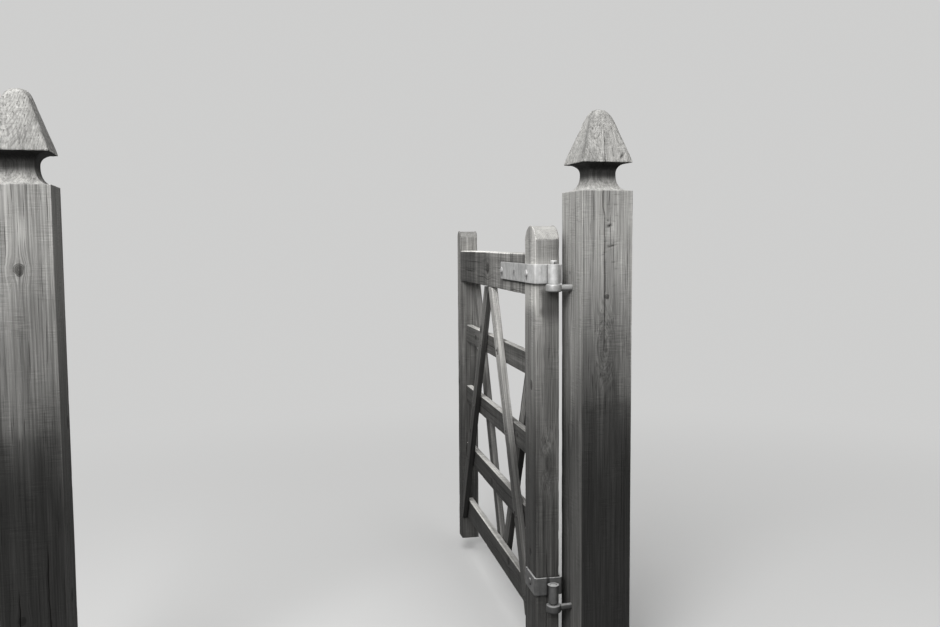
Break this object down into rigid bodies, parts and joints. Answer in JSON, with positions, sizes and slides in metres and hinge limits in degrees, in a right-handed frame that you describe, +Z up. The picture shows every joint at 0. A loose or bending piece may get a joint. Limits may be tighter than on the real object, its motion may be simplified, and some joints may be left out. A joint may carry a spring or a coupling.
{
  "type": "wooden garden gate",
  "caption": "Five-bar wooden wicket gate with diamond bracing on galvanised band hinges, standing open between two square posts with carved tops.",
  "frame": {"origin": "middle of the hanging post's foot, at ground level", "axes": "+Z up, -X across the way through to the latch post, +Y the side to which the leaf opens"},
  "size_m": [1.611, 1.3002, 1.619],
  "materials": {
    "post_timber": "weathered, sawn",
    "stile_timber": "weathered, planed",
    "rail_timber": "weathered, planed",
    "brace_timber": "weathered, planed",
    "galvanised_steel": "dull zinc",
    "bolt_steel": "dull zinc"
  },
  "bodies": {
    "posts": {"hanging_post": "post_timber", "latch_post": "post_timber", "top_hook": "galvanised_steel", "bottom_hook": "galvanised_steel"},
    "leaf": {"hanging_stile": "stile_timber", "latch_stile": "stile_timber", "top_rail": "rail_timber", "second_rail": "rail_timber", "third_rail": "rail_timber", "fourth_rail": "rail_timber", "bottom_rail": "rail_timber", "front_brace_hinge_side": "brace_timber", "front_brace_latch_side": "brace_timber", "back_brace_hinge_side": "brace_timber", "back_brace_latch_side": "brace_timber", "top_band": "galvanised_steel", "bottom_band": "galvanised_steel", "top_bolt_near": "bolt_steel", "top_bolt_far": "bolt_steel", "bottom_bolt": "bolt_steel", "top_nut_near": "bolt_steel", "top_nut_far": "bolt_steel", "bottom_nut": "bolt_steel"}
  },
  "joints": [
    {"name": "leaf_swing", "type": "hinge", "parent": "posts", "child": "leaf", "pos_m": [-0.128, 0, 1.167], "axis": [0, 0, 1], "range_deg": [0, 94.9]}
  ]
}
